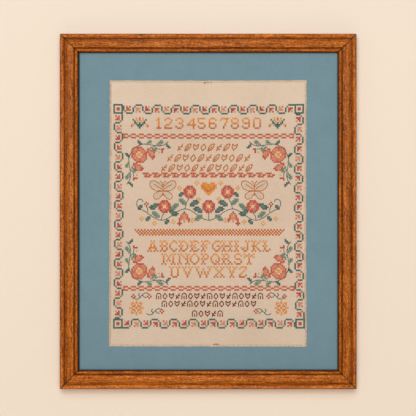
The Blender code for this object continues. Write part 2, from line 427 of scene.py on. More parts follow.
floss, tree, shader = surface("cotton_floss", 0.68, 0.2)
dyed = add(tree, "ShaderNodeAttribute", {}, attribute_name="dye")
along_strand = add(tree, "ShaderNodeUVMap", {}, uv_map="strand")
twisted = add(
    tree, "ShaderNodeMapping", {"Vector": along_strand, "Scale": (7, 3, 1), "Rotation": (0, 0, math.radians(20))}
)
twist = add(tree, "ShaderNodeTexWave", {"Vector": twisted, "Scale": 1.0, "Distortion": 1.5, "Detail": 1.0}, output=1)
fibre = noise(tree, places(tree), 5200, 2.0)
floss_shade = ramp(tree, twist, (0.0, grey(0.80)), (0.7, grey(1.06)))
floss_colour = mix(tree, 1.0, dyed, floss_shade, "MULTIPLY")
fibre_shade = ramp(tree, fibre, (0.3, grey(0.92)), (0.7, grey(1.08)))
floss_colour = mix(tree, 1.0, floss_colour, fibre_shade, "MULTIPLY")
tree.links.new(floss_colour, shader.inputs["Base Color"])
shader.inputs["Sheen Weight"].default_value = 0.06
relief(tree, shader, twist, 0.00008, 0.5)


def hole(column, row):
    """Where a hole of the stretched cloth lies, counted from the chart's top left corner."""
    x, z = drawn_out(chart_left + column * PITCH_ACROSS, chart_top - row * PITCH_DOWN)
    return float(x), float(z)


def motif(chart, rows, column, row, mirrored=False, flipped=False, dyes=DYES):
    """Counts a motif onto a chart, a text row for each row of the cloth and a letter for each cross stitch."""
    for down, letters in enumerate(reversed(rows) if flipped else rows):
        for across, letter in enumerate(reversed(letters) if mirrored else letters):
            if letter in dyes:
                chart[(column + across, row + down)] = dyes[letter]


def crosses(chart):
    """The strands of a chart's cross stitches: one arm of each, then the other over it."""
    strands = []
    for (column, row), dye in sorted(chart.items()):
        size = (CROSS_WIDTH, CROSS_THICKNESS, CROSS_RISE)
        strands.append((hole(column, row + 1), hole(column + 1, row), size, 0.0, dye))
        strands.append((hole(column, row), hole(column + 1, row + 1), size, CROSSING_LIFT, dye))
    return strands


def sew(name, strands):
    """One joined mesh of strands, each from hole to hole, with small unevennesses of place, width and shade."""
    count = len(strands)
    start = np.array([strand[0] for strand in strands]) + draw.normal(0, PLACE_SPREAD, (count, 2))
    end = np.array([strand[1] for strand in strands]) + draw.normal(0, PLACE_SPREAD, (count, 2))
    sizes = np.array([strand[2] for strand in strands])
    lift = np.array([strand[3] for strand in strands])
    dye = np.array([strand[4] for strand in strands])
    shade = 1 + SHADE_SPREAD * draw.uniform(-1, 1, count)
    width = sizes[:, 0] * (1 + WIDTH_SPREAD * draw.uniform(-1, 1, count))
    way = end - start
    length = np.linalg.norm(way, axis=1)
    side = np.stack([-way[:, 1], way[:, 0]], axis=1) / length[:, None]
    spots = start[:, None, :] + way[:, None, :] * strand_along[None, :, None]
    spots += side[:, None, :] * (strand_across[None, :] * width[:, None])[:, :, None]
    height = strand_height[None, :] * sizes[:, 1, None] + strand_rise[None, :] * sizes[:, 2, None]
    height += strand_crossing[None, :] * lift[:, None]
    corners_each = len(strand_along)
    points = np.empty((count, corners_each, 3))
    points[:, :, 0] = spots[:, :, 0]
    points[:, :, 1] = cloth_face + PUCKER / 2 - height
    points[:, :, 2] = spots[:, :, 1]

    mesh = bpy.data.meshes.new(name)
    mesh.vertices.add(count * corners_each)
    mesh.vertices.foreach_set("co", points.ravel())
    corner_points = (bar_corners[None, :] + np.arange(count)[:, None] * corners_each).ravel()
    mesh.loops.add(len(corner_points))
    mesh.loops.foreach_set("vertex_index", corner_points.astype(np.int32))
    face_sizes = np.tile(bar_sizes, count)
    mesh.polygons.add(len(face_sizes))
    mesh.polygons.foreach_set("loop_start", (np.cumsum(face_sizes) - face_sizes).astype(np.int32))
    mesh.update(calc_edges=True)
    colours = mesh.color_attributes.new("dye", "FLOAT_COLOR", "POINT")
    shaded = np.repeat(dye * np.append(np.ones(3), 1.0), corners_each, axis=0)
    shaded[:, :3] *= np.repeat(shade, corners_each)[:, None]
    colours.data.foreach_set("color", shaded.ravel())
    strand_map = mesh.uv_layers.new(name="strand")
    flat = np.stack([strand_along, strand_across + 0.5], axis=1)[bar_corners]
    strand_map.data.foreach_set("uv", np.tile(flat, (count, 1)).ravel())
    mesh.polygons.foreach_set("use_smooth", np.ones(len(face_sizes), dtype=bool))
    mesh.update()
    mesh.validate()
    piece = bpy.data.objects.new(name, mesh)
    bpy.context.scene.collection.objects.link(piece)
    dress(piece, floss)
    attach(piece, "root")
    return piece


RING = ("PPPPPP", "P....P", "P.DD.P", "P.DD.P", "P....P", "PPPPPP")
WAVE_DOWN = ("......", "P.M.N.", "P.MM..", "P.MMM.", ".T....", "..PPPP")
WAVE_UP = ("..PPPP", ".T....", "P.MMM.", "P.MM..", "P.M.N.", "......")
SIDE_WAVE_RIGHT = (".....P", ".N.M.P", "..MM.P", ".MMM.P", "....T.", ".PPP..")
SIDE_WAVE_LEFT = ("P.....", "P.M.N.", "P.MM..", "P.MMM.", ".T....", "..PPP.")
BUD_DYES = ((RED, BRICK), (CORAL, RED), (BRICK, CORAL))
UNIT = 6
TOP_UNITS = 18
SIDE_UNITS = 21

border = {}
top_run = {}
side_run = {}
for unit in range(TOP_UNITS):
    bud, dot = BUD_DYES[unit % 3]
    rows = WAVE_UP if unit % 2 else WAVE_DOWN
    motif(top_run, rows, UNIT + UNIT * unit, 0, dyes={**DYES, "M": bud, "N": dot})
for unit in range(SIDE_UNITS):
    bud, dot = BUD_DYES[unit % 3]
    rows = SIDE_WAVE_LEFT if unit % 2 else SIDE_WAVE_RIGHT
    motif(side_run, rows, 0, UNIT + UNIT * unit, dyes={**DYES, "M": bud, "N": dot})
for (column, row), dye in top_run.items():
    border[(column, row)] = dye
    border[(CHART_COLUMNS - 1 - column, CHART_ROWS - 1 - row)] = dye
for (column, row), dye in side_run.items():
    border[(column, row)] = dye
    border[(column + CHART_COLUMNS - UNIT, CHART_ROWS - 1 - row)] = dye
for column in (0, CHART_COLUMNS - UNIT):
    for row in (0, CHART_ROWS - UNIT):
        motif(border, RING, column, row)
sew("stitched_border", crosses(border))

# Numbers and alphabet: plain cross stitched figures and capitals, seven rows high, in shaded orange cotton.
# The thread is dyed in changing shades, so the two lowest rows of each line come out darker.
NUMBERS_ROW = 8
NUMBERS = (
    (27, (".#.", "##.", ".#.", ".#.", ".#.", ".#.", "###")),
    (32, (".###.", "#...#", "....#", "...#.", ".##..", "#....", "#####")),
    (39, (".###.", "#...#", "....#", "..##.", "....#", "#...#", ".###.")),
    (46, ("....#.", "...##.", "..#.#.", ".#..#.", "######", "....#.", "....#.")),
    (53, ("#####", "#....", "#....", ".###.", "....#", "#...#", ".###.")),
    (60, (".###.", "#...#", "#....", "####.", "#...#", "#...#", ".###.")),
    (67, (".#####", "#...#.", "....#.", "...#..", "...#..", "..#...", "..#...")),
    (74, (".###.", "#...#", "#...#", ".###.", "#...#", "#...#", ".###.")),
    (81, (".###.", "#...#", "#...#", ".####", "....#", "#...#", ".###.")),
    (88, (".###.", "#...#", "#...#", "#...#", "#...#", "#...#", ".###.")),
)
LETTERS = {
    "A": ("..#.#..", "...#...", "..#.#..", "..#.#..", ".#####.", ".#...#.", "#.#.#.#"),
    "B": ("#.##.", ".#..#", ".#..#", "#.##.", ".#..#", ".#..#", "#.##."),
    "C": ("..##.", ".#..#", "#....", "#....", "#....", ".#..#", "..##."),
    "D": ("#.##..", ".#..#.", ".#...#", "#.#..#", ".#...#", ".#..#.", "#.##.."),
    "E": ("#.###.", ".#...#", ".#.#..", "#.#...", ".#.#..", ".#...#", "#.###."),
    "F": ("#.###.", ".#...#", ".#.#..", "#.#...", ".#.#..", ".#....", "#.#..."),
    "G": ("..###.", ".#...#", "#.....", "#..##.", "#....#", ".#..#.", "..##.."),
    "H": ("#.#.#.#", ".#...#.", ".#...#.", "#.###.#", ".#...#.", ".#...#.", "#.#.#.#"),
    "I": ("#.#", ".#.", ".#.", "#.#", ".#.", ".#.", "#.#"),
    "J": ("...#.#", "....#.", "....#.", "....#.", "#.#.#.", ".#..#.", "..##.."),
    "K": ("#.#..#", ".#..#.", ".#.#..", "###...", ".#.#..", ".#..#.", "#.#..#"),
    "L": ("#.#..", ".#...", ".#...", "#.#..", ".#...", ".#..#", "#.##."),
    "M": ("#.#...#.#", ".#.#.#.#.", ".#..#..#.", ".#..#..#.", ".#.#.#.#.", ".#.....#.", "#.#...#.#"),
    "N": ("#.#..#.#", ".#.#..#.", ".#..#.#.", ".#...##.", ".#....#.", ".#....#.", "#.#..#.#"),
    "O": ("..##..", ".#..#.", "#....#", "#....#", "#....#", ".#..#.", "..##.."),
    "P": ("#.##.", ".#..#", ".#..#", "#.##.", ".#...", ".#...", "#.#.."),
    "Q": ("..##..", ".#..#.", "#....#", "#....#", "#..#.#", ".#..#.", "..##.#"),
    "R": ("#.##...", ".#..#..", ".#..#..", "#.##...", ".#..#..", ".#...#.", "#.#.#.#"),
    "S": (".###.", "#...#", "#....", ".###.", "....#", "#...#", ".###."),
    "T": ("#..#..#", ".##.##.", "#..#..#", "...#...", "...#...", "...#...", "..#.#.."),
    "U": ("#.#.#.#", ".#...#.", ".#...#.", ".#...#.", ".#...#.", ".#...#.", "..###.."),
    "V": ("#.#.#.#", ".#...#.", ".#...#.", "..#.#..", "..#.#..", "...#...", "...#..."),
    "W": ("#.#.....#.#", ".#...#...#.", ".#...#...#.", "..#.#.#.#..", "..#.#.#.#..", "...#...#...",
          "...#...#..."),
    "X": ("#.#.#.#", ".#...#.", "..#.#..", "...#...", "..#.#..", ".#...#.", "#.#.#.#"),
    "Y": ("#.#.#.#", ".#...#.", "..#.#..", "..#.#..", "...#...", "...#...", "..#.#.."),
    "Z": (".####", "#...#", "...#.", "..#..", ".#...", "#...#", "####."),
}
# Each line of the alphabet: its first column and row, and its letters. Letters stand one column apart,
# but two of them close to the one before
ALPHABET = (
    (21, 84, "ABCDEFGHIJKL"),
    (30, 92, "MNOPQRST"),
    (35, 100, "UVWXYZ"),
)
CLOSE_LETTERS = "HO"
LOW_SHADES = 2
MIDDLE_SHADE = linear(234, 138, 46)
DARK_SHADE = linear(208, 112, 30)


def shaded_figure(chart, rows, column, row):
    """Counts a figure whose lowest rows are darker."""
    for down, letters in enumerate(rows):
        dye = AMBER if down < 3 else MIDDLE_SHADE
        if down == len(rows) - LOW_SHADES:
            dye = DARK_SHADE
        elif down > len(rows) - LOW_SHADES:
            dye = RUST
        motif(chart, (letters,), column, row + down, dyes={"#": dye})


numbers = {}
for column, rows in NUMBERS:
    shaded_figure(numbers, rows, column, NUMBERS_ROW)
sew("stitched_numbers", crosses(numbers))

alphabet = {}
for column, row, letters in ALPHABET:
    for letter in letters:
        column -= 1 if letter in CLOSE_LETTERS else 0
        shaded_figure(alphabet, LETTERS[letter], column, row)
        column += len(LETTERS[letter][0]) + 1
sew("stitched_alphabet", crosses(alphabet))

# Bands: two red chains across the whole width, a row of linked blossoms, and a four row lattice.
# They part the sampler into its fields, in counted repeats that start from the left.
CHAIN_ROWS = (18, 112)
CHAIN_FIRST = 6
CHAIN_LAST = 113
CHAIN_PITCH = 5
CHAIN_RED = linear(212, 104, 74)
BLOSSOM_ROW = 42
BLOSSOM_FIRST = 18
BLOSSOM_REPEATS = 14
BLOSSOM = ("RRRR..", ".YR.RR", ".RRRR.")
LATTICE_ROW = 77
LATTICE_FIRST = 13
LATTICE_LAST = 108
LATTICE_ORANGE = linear(210, 90, 4)
LATTICE_LIGHT = linear(250, 196, 116)

bands = {}
for top in CHAIN_ROWS:
    for column in range(CHAIN_FIRST, CHAIN_LAST, CHAIN_PITCH):
        for across in range(3):
            bands[(column + across, top)] = CHAIN_RED
            bands[(column + across, top + 2)] = CHAIN_RED
        for across in range(3, CHAIN_PITCH):
            if column + across < CHAIN_LAST:
                bands[(column + across, top + 1)] = CHAIN_RED
    bands[(CHAIN_FIRST, top + 1)] = SALMON
    bands[(CHAIN_LAST, top + 1)] = SALMON
for repeat in range(BLOSSOM_REPEATS):
    motif(bands, BLOSSOM, BLOSSOM_FIRST + repeat * len(BLOSSOM[0]), BLOSSOM_ROW,
          dyes={"R": CHAIN_RED, "Y": GOLD})
for down in range(4):
    for column in range(LATTICE_FIRST + down, LATTICE_LAST + 1 - down, 2):
        bands[(column, LATTICE_ROW + down)] = LATTICE_ORANGE
for column in range(LATTICE_FIRST + 6, LATTICE_LAST - 3, 6):
    bands[(column, LATTICE_ROW + 1)] = LATTICE_LIGHT
    for across in (-1, 1):
        if column + across < LATTICE_LAST - 4:
            bands[(column + across, LATTICE_ROW + 2)] = LATTICE_LIGHT
sew("stitched_bands", crosses(bands))

# Sprigs and corner sprays: a gold tulip by each end of the numbers, and a branch round each inner corner
# with a round blossom, tulips, leaves and berries, worked once and turned for the other corners.
LINE_SIZE = (0.00102, 0.00046, 0.00012)
LONGEST_LINE = 1.5
TULIP_SPRIG = (
    "...G.R.G...",
    ".P.G.R.G.P.",
    "..P.GYG.P..",
    "..PT.P.TP..",
    "GG.TPPPT.GG",
    "R...TPT...R",
    ".....P.....",
)
TULIP_COLUMNS = (11, 98)
TULIP_ROW = 8
SPRAY_SIZE = 28
SPRAY_CORNERS = ((7, 22, False, False), (85, 22, True, False), (7, 84, False, True), (85, 84, True, True))
BLOSSOM_ROUND = (
    "..RRRRR...",
    ".RCCRCCR..",
    "RCCLLLCCR.",
    "RCLLYYLCCR",
    "RRLYGGYLRR",
    "RCLYGGYLCR",
    "RCCLYYLLCR",
    ".RCCLLLCCR",
    "..RCCRCCR.",
    "...RRRRR..",
)
SPRAY_TULIP = (
    "RR....",
    "RCRR..",
    "RCCCR.",
    ".RCCGY",
    ".RCCR.",
    "..RRD.",
    "...D..",
)
LEAF_UP = ("..SS", ".STS", "SS..")
LEAF_DOWN = ("SS..", ".SSS", "..TS")
DARK_LEAF = ("P..", "PP.", ".PP")
BERRIES = (".D.", "DRD", ".D.")
BUD = ("DD.", "D..", "D..")
SPRAY_STEMS = (
    ((27.4, 0.8), (25.0, 2.8), (22.0, 3.6), (18.0, 3.2), (14.0, 2.3), (10.5, 2.5), (7.2, 4.2), (5.0, 5.0)),
    ((10.5, 2.5), (9.4, 0.6)),
    ((18.0, 3.2), (20.0, 5.2), (22.6, 5.6)),
    ((22.0, 3.6), (23.6, 1.4), (24.6, 1.2)),
)

spray_half = {}
motif(spray_half, LEAF_UP, 13, 0)
motif(spray_half, LEAF_DOWN, 16, 4)
motif(spray_half, LEAF_UP, 20, 0)
motif(spray_half, DARK_LEAF, 8, 0)
motif(spray_half, DARK_LEAF, 26, 2)
motif(spray_half, SPRAY_TULIP, 14, 5)
motif(spray_half, BUD, 23, 5)
motif(spray_half, ("G",), 21, 7)
motif(spray_half, ("GG",), 12, 11)
spray = dict(spray_half)
for (along, down), dye in spray_half.items():
    spray[(down, along)] = dye
motif(spray, BLOSSOM_ROUND, 4, 4)


def back_stitches(strands, path, dye, column, row, size=LINE_SIZE):
    """Adds a line of back stitches along a path of chart places, none much longer than a block."""
    for first, last in zip(path, path[1:]):
        steps = max(1, math.ceil(math.dist(first, last) / LONGEST_LINE))
        for step in range(steps):
            ends = []
            for share in (step / steps, (step + 1) / steps):
                across = first[0] + (last[0] - first[0]) * share
                down = first[1] + (last[1] - first[1]) * share
                ends.append(hole(column + across, row + down))
            strands.append((ends[0], ends[1], size, 0.0, dye))


sprays = {}
spray_lines = []
for column, row, mirrored, flipped in SPRAY_CORNERS:
    for (across, down), dye in spray.items():
        across = SPRAY_SIZE - 1 - across if mirrored else across
        down = SPRAY_SIZE - 1 - down if flipped else down
        sprays[(column + across, row + down)] = dye
    for path in SPRAY_STEMS:
        for line in (path, [(down, across) for across, down in path]):
            line = [(SPRAY_SIZE - across if mirrored else across, down) for across, down in line]
            line = [(across, SPRAY_SIZE - down if flipped else down) for across, down in line]
            back_stitches(spray_lines, line, PINE, column, row)
for column in TULIP_COLUMNS:
    motif(sprays, TULIP_SPRIG, column, TULIP_ROW)
sew("stitched_sprays", crosses(sprays) + spray_lines)

# Middle picture: a waving vine with round roses, hanging tulips, leaves and florets, under a heart.
# It is mirrored about the middle of the cloth, its flowers in cross stitch and its stems in back stitch.
VINE_MIDDLE = 60
VINE_ROW = 68.0
VINE_SWING = 3.5
VINE_WAVE = 30
VINE_STEP = 1.5
VINE_END = 42
ROSE = (
    "..DRRD..",
    ".RRCDRR.",
    "RDCLLCRD",
    "RRLYYLRR",
    "DRLYYLDR",
    "RRCLLCRR",
    ".RRDCRD.",
    "..DRRR..",
)
TULIP = (
    "...P...",
    "..RCR..",
    ".RCGCR.",
    ".RCGCR.",
    "RRCGCRR",
    "RC.C.CR",
    "R..C..R",
)
HEART = (
    ".AAA..AAA.",
    "AAAAAAAAAA",
    "AUAAAAAAUA",
    "AAUAAAAUAA",
    ".AAUAAUAA.",
    "..AAUUAA..",
    "...AAAA...",
    "....AA....",
)
WIDE_LEAF = ("..PPP.", ".PTTPP", "PTTPP.", "PPP...")
PALE_LEAF = ("..SSS.", ".SSTS.", "SSTS..", "TSS...")
SMALL_LEAF = (".PP", "PTP", "PP.")
FLORET = (".G.", "GYG", ".G.")
FLORET_RED = (".D.", "DYD", ".D.")

# What grows on the right half: the motif, its column from the middle, its row and whether it is mirrored or flipped
VINE_GROWTH = (
    (WIDE_LEAF, 4, 63, False, False), (FLORET, 5, 57, False, False), (PALE_LEAF, 4, 68, False, True),
    (ROSE, 8, 50, False, False), (WIDE_LEAF, 6, 59, True, False), (PALE_LEAF, 14, 58, False, False),
    (SMALL_LEAF, 16, 54, True, False), (FLORET, 6, 47, False, False), (FLORET, 17, 50, False, False),
    (TULIP, 12, 66, False, False), (WIDE_LEAF, 19, 65, True, True), (FLORET, 9, 70, False, False),
    (ROSE, 24, 59, False, False), (PALE_LEAF, 18, 61, True, False), (FLORET, 21, 71, False, False),
    (WIDE_LEAF, 32, 61, False, True), (PALE_LEAF, 31, 66, False, False), (SMALL_LEAF, 25, 71, True, False),
    (FLORET_RED, 38, 60, False, False), (SMALL_LEAF, 37, 69, False, True), (FLORET, 33, 72, False, False),
    (FLORET, 41, 69, False, False), (BERRIES, 17, 72, False, False), (SMALL_LEAF, 42, 62, True, False),
)
# Stems of the right half, from the middle: to the roses, to the red floret and the curl at the vine's end
VINE_STEMS = (
    ((0.0, 71.4), (0.0, 67.0)),
    ((15.0, 64.5), (14.6, 61.5), (12.6, 58.2)),
    ((30.0, 71.4), (29.6, 69.0), (28.2, 66.9)),
    ((38.6, 66.4), (38.8, 64.4), (39.4, 62.8)),
    ((42.0, 65.2), (44.2, 64.2), (45.6, 62.2), (45.6, 60.0), (44.2, 58.4), (42.4, 58.6), (41.6, 60.2)),
)

picture = {}
for rows, side, row, mirrored, flipped in VINE_GROWTH:
    motif(picture, rows, VINE_MIDDLE + side, row, mirrored, flipped)
    motif(picture, rows, VINE_MIDDLE - side - len(rows[0]), row, not mirrored, flipped)
motif(picture, ROSE, VINE_MIDDLE - len(ROSE[0]) // 2, 59)
motif(picture, HEART, VINE_MIDDLE - len(HEART[0]) // 2, 48)
vine = []
for step in range(round(VINE_END / VINE_STEP) + 1):
    along = step * VINE_STEP
    vine.append((along, VINE_ROW + VINE_SWING * math.cos(2 * math.pi * along / VINE_WAVE)))
picture_lines = []
for path in (vine,) + VINE_STEMS:
    back_stitches(picture_lines, path, PINE, VINE_MIDDLE, 0)
    back_stitches(picture_lines, [(-side, row) for side, row in path], PINE, VINE_MIDDLE, 0)
sew("stitched_picture", crosses(picture) + picture_lines)

# Lines: back stitches of one thread run end to end, for rows of small leaves and arches, butterflies and scrolls.
# Tan and brown threads draw the rows of motifs, and dark green ones the scrolls.
LEAF_LINE = (((0, 1), (0.05, 0.45), (0.5, 0.05), (1, 0), (0.95, 0.5), (0.5, 0.92), (0, 1)), ((0, 1), (0.65, 0.35)))
SPRIG_LINE = (((0.1, 1), (0.9, 0)), ((0.3, 0.75), (0.1, 0.3)), ((0.3, 0.75), (0.85, 0.8)), ((0.6, 0.38), (1.05, 0.42)))
DIAMOND_LINE = (((0.5, 0), (1, 0.5), (0.5, 1), (0, 0.5), (0.5, 0)),)
ARCH_LINE = (((0, 1), (0, 0.3), (0.25, 0.02), (0.75, 0.02), (1, 0.3), (1, 1)), ((0.5, 1), (0.5, 0.45)))
CUP_LINE = (((0, 0), (0.08, 0.6), (0.5, 0.8), (0.92, 0.6), (1, 0), (0.5, 0.35), (0, 0)), ((0.5, 0.8), (0.5, 1)))
# Rows of small line motifs. Each has its dye, the motifs' width, height, lean and step in stitches,
# the motifs by turns, and its lines: the first column, the row and how many
LINE_ROWS = (
    (TAN, 3.2, 4.4, 1.1, 4.9, (SPRIG_LINE, LEAF_LINE, CUP_LINE, DIAMOND_LINE, LEAF_LINE),
     ((39.8, 24.2, 8), (33.3, 30.8, 11), (29.5, 37.0, 12))),
    (UMBER, 2.8, 3.65, 0.0, 4.0, (ARCH_LINE, DIAMOND_LINE, CUP_LINE, SPRIG_LINE),
     ((27.0, 116.5, 17), (30.6, 121.2, 15), (49.6, 127.2, 5))),
)
WING_UPPER = ((9, 4.6), (6.5, 2.2), (3.6, 0.6), (1.2, 0.9), (0.6, 3.0), (1.9, 5.4), (4.6, 6.9), (9, 6.8))
WING_LOWER = ((9, 7.0), (5.6, 7.4), (3.4, 8.9), (3.0, 11.0), (4.6, 12.2), (6.6, 11.6), (8.0, 9.8), (9, 8.4))
WING_VEINS = (((8.2, 5.7), (3.4, 2.8)),)
BODY_LINE = ((9, 3.6), (9, 10.0))
FEELER = ((9, 3.6), (8.2, 1.6), (7.0, 0.8))
BUTTERFLY_WIDTH = 18
WING_FILL = (
    "..................",
    ".EEE..........EEE.",
    ".EEEEE......EEEEE.",
    "..EEEEEE..EEEEEE..",
    "..EEEEEEEEEEEEEE..",
    "...EEEEEEEEEEEE...",
    "......EEEEEE......",
    "......EEEEEE......",
    "....EEEE..EEEE....",
    "....EEEE..EEEE....",
    "....EEE....EEE....",
    ".....E......E.....",
)
BUTTERFLIES = ((22, 46.4), (80, 46.4))
SCROLL = ((0, 3.4), (1.6, 4.4), (3.4, 4.0), (4.8, 2.6), (6.2, 1.0), (8.0, 0.4), (9.4, 1.2))
SCROLL_CURL = ((4.2, 3.2), (3.0, 1.6), (4.0, 0.6))
SCROLL_TAIL = ((5.6, 1.6), (6.8, 3.2), (8.2, 3.4))
SCROLL_WIDTH = 9.4
SCROLL_PLACES = ((12.6, 115.8, False), (97.6, 115.8, True), (20.8, 125.4, False), (89.6, 125.4, True))
ROW_LINE_SIZE = (0.00124, 0.0005, 0.00012)
MARKING_SIZE = (0.0017, 0.0009, 0.0005)
MARKING_OCHRE = linear(214, 138, 52)
# Loose ends of marking thread by the mat's edge, where the middle of the cloth was found before stitching
MARKING_ENDS = (
    ((57.0, -13.2), (58.3, -14.0)), ((58.8, -14.2), (60.2, -13.8)), ((61.2, -13.4), (61.9, -13.9)),
    ((62.8, 147.6), (64.4, 147.3)), ((64.4, 147.3), (66.2, 147.6)),
    ((-2.4, 28.8), (-1.8, 29.8)), ((-1.9, 29.8), (-2.3, 30.9)),
)

lines = []
for dye, width, height, lean, step, shapes, places_in_row in LINE_ROWS:
    for column, row, count in places_in_row:
        for index in range(count):
            for path in shapes[index % len(shapes)]:
                path = [(width * across + lean * (1 - down), height * down) for across, down in path]
                back_stitches(lines, path, dye, column + index * step, row, ROW_LINE_SIZE)
for column, row in BUTTERFLIES:
    for path in (WING_UPPER, WING_LOWER, BODY_LINE, FEELER) + WING_VEINS:
        back_stitches(lines, path, TAN, column, row)
        back_stitches(lines, [(BUTTERFLY_WIDTH - across, down) for across, down in path], TAN, column, row)
for column, row, mirrored in SCROLL_PLACES:
    for path in (SCROLL, SCROLL_CURL, SCROLL_TAIL):
        path = [(SCROLL_WIDTH - across if mirrored else across, down) for across, down in path]
        back_stitches(lines, path, PINE, column, row)
for path in MARKING_ENDS:
    back_stitches(lines, path, MARKING_OCHRE, 0, 0, MARKING_SIZE)
sew("stitched_lines", lines)

# Foot of the sampler: small diamond florets by the scrolls and a star each side, in cross stitch,
# and the butterflies' wings filled with single slanting half stitches in undyed cotton.
FLORET_PLACES = ((11, 117), (21, 117), (96, 117), (106, 117), (29, 126), (88, 126))
STAR = (
    "....A....",
    ".AA.A.AA.",
    ".A.A.A.A.",
    "..UA.AU..",
    "AA..U..AA",
    "..UA.AU..",
    ".A.A.A.A.",
    ".AA.A.AA.",
    "....A....",
)
STAR_PLACES = ((10, 121), (101, 121))
HALF_STITCH_SIZE = (0.00066, 0.00024, 0.00008)

foot = {}
for column, row in FLORET_PLACES:
    motif(foot, FLORET_RED, column, row)
for column, row in STAR_PLACES:
    motif(foot, STAR, column, row)
sew("stitched_foot", crosses(foot))

half_stitches = []
for column, row in BUTTERFLIES:
    wing_fill = {}
    motif(wing_fill, WING_FILL, column, round(row))
    for (across, down), dye in sorted(wing_fill.items()):
        half_stitches.append((hole(across, down + 1), hole(across + 1, down), HALF_STITCH_SIZE, 0.0, dye))
sew("stitched_wings", half_stitches)

# Window mat: blue-grey paper on a cream core, with a window cut by hand on a slant so that the core shows.
# Its cut edges waver a little, and it lies in the rebate in front of the cloth.
WINDOW_CUTS = 60
WAVER = 0.00010
WAVER_LENGTHS = (0.031, 0.0117, 0.0043)
# How far the cut window's corners lie right of and above a true rectangle's, top corners first, left ones first
CORNERS_OFF = (((0.00016, 0.0001), (-0.00003, 0.0003)), ((-0.00082, -0.00008), (0.00005, -0.0003)))
TOP_BOW = -0.0004
RIGHT_BOW = -0.0006
PAPER_BLUE = (121, 148, 158)
PAPER_FIBRE = (105, 133, 144)
CORE_CREAM = (236, 211, 183)
CORE_STAINED = (200, 163, 133)
# Painted shade on the mat along the rails' lips: its width, and its colours across it
LIP_SHADE_WIDTH = 0.0026
LIP_SHADE = ((0.10, 0.16, 0.17, 1.0), (0.18, 0.30, 0.31, 1.0), (0.80, 0.86, 0.87, 1.0))
# How much narrower the painted shade along the lip is than at the left rail, on each side
LIP_SHADE_LESS = {"left": 0.0, "right": 0.0009, "bottom": 0.0007, "top": 0.0015}
mat_thickness = mat_high.y - mat_low.y

bpy.ops.mesh.primitive_plane_add(size=1.0, rotation=(math.radians(90), 0, 0))
mat = bpy.context.object
mat.name = mat.data.name = "mat_board"
mat.location = (middle_x, mat_low.y, middle_z)
mat.scale = (mat_high.x - mat_low.x, mat_high.z - mat_low.z, 1)
bpy.ops.object.transform_apply(location=True, rotation=True, scale=True)
bpy.ops.object.mode_set(mode="EDIT")
bpy.ops.mesh.select_mode(type="FACE")
bpy.ops.mesh.inset(thickness=0.03)
bpy.ops.object.mode_set(mode="OBJECT")


def set_window(mesh, width, height, at_depth):
    """Moves the selected corners to a window's corners."""
    for vertex in mesh.vertices:
        if vertex.select:
            vertex.co.x = middle_x + math.copysign(width / 2, vertex.co.x - middle_x)
            vertex.co.z = window_z + math.copysign(height / 2, vertex.co.z - window_z)
            vertex.co.y = at_depth


set_window(mat.data, WINDOW_WIDTH, WINDOW_HEIGHT, mat_low.y)
bpy.ops.object.mode_set(mode="EDIT")
bpy.ops.mesh.extrude_region_move(TRANSFORM_OT_translate={"value": (0, mat_thickness, 0)})
bpy.ops.object.mode_set(mode="OBJECT")
set_window(mat.data, WINDOW_WIDTH - 2 * mat_thickness, WINDOW_HEIGHT - 2 * mat_thickness, mat_high.y)
bpy.ops.object.mode_set(mode="EDIT")
bpy.ops.mesh.delete(type="FACE")
bpy.ops.object.mode_set(mode="OBJECT")
for edge in mat.data.edges:
    ends = [mat.data.vertices[index].co for index in edge.vertices]
    edge.select = all(end.x < mat_low.x + 1e-4 or end.x > mat_high.x - 1e-4 for end in ends)
bpy.ops.object.mode_set(mode="EDIT")
bpy.ops.mesh.select_mode(type="EDGE")
bpy.ops.mesh.extrude_edges_move(TRANSFORM_OT_translate={"value": (0, mat_thickness, 0)})
bpy.ops.mesh.select_all(action="DESELECT")
bpy.ops.mesh.select_non_manifold()
bpy.ops.mesh.bridge_edge_loops()
bpy.ops.mesh.select_all(action="SELECT")
bpy.ops.mesh.normals_make_consistent(inside=False)
bpy.ops.mesh.select_all(action="DESELECT")
bpy.ops.object.mode_set(mode="OBJECT")


def in_window(point):
    """True for a point of the window's two outlines, and not of the mat's outer edge."""
    return abs(point.x - middle_x) < WINDOW_WIDTH / 2 + 0.001 and abs(point.z - window_z) < WINDOW_HEIGHT / 2 + 0.001


for edge in mat.data.edges:
    first, last = [mat.data.vertices[index].co for index in edge.vertices]
    edge.select = in_window(first) and in_window(last) and abs(first.y - last.y) < 1e-6
bpy.ops.object.mode_set(mode="EDIT")
bpy.ops.mesh.subdivide(number_cuts=WINDOW_CUTS)
bpy.ops.object.mode_set(mode="OBJECT")
for vertex in mat.data.vertices:
    if in_window(vertex.co):
        right = min(max((vertex.co.x - middle_x) / WINDOW_WIDTH + 0.5, 0), 1)
        down = min(max((window_z - vertex.co.z) / WINDOW_HEIGHT + 0.5, 0), 1)
        top_off = Vector(CORNERS_OFF[0][0]).lerp(Vector(CORNERS_OFF[0][1]), right)
        bottom_off = Vector(CORNERS_OFF[1][0]).lerp(Vector(CORNERS_OFF[1][1]), right)
        off = top_off.lerp(bottom_off, down)
        off.x += RIGHT_BOW * math.sin(math.pi * down) * right
        off.y += TOP_BOW * math.sin(math.pi * right) * (1 - down)
        for length in WAVER_LENGTHS:
            off.x += WAVER * math.sin(vertex.co.z / length * 2 * math.pi + 3 * right)
            off.y += WAVER * math.sin(vertex.co.x / length * 2 * math.pi + 3 * down)
        vertex.co.x += off.x
        vertex.co.z += off.y

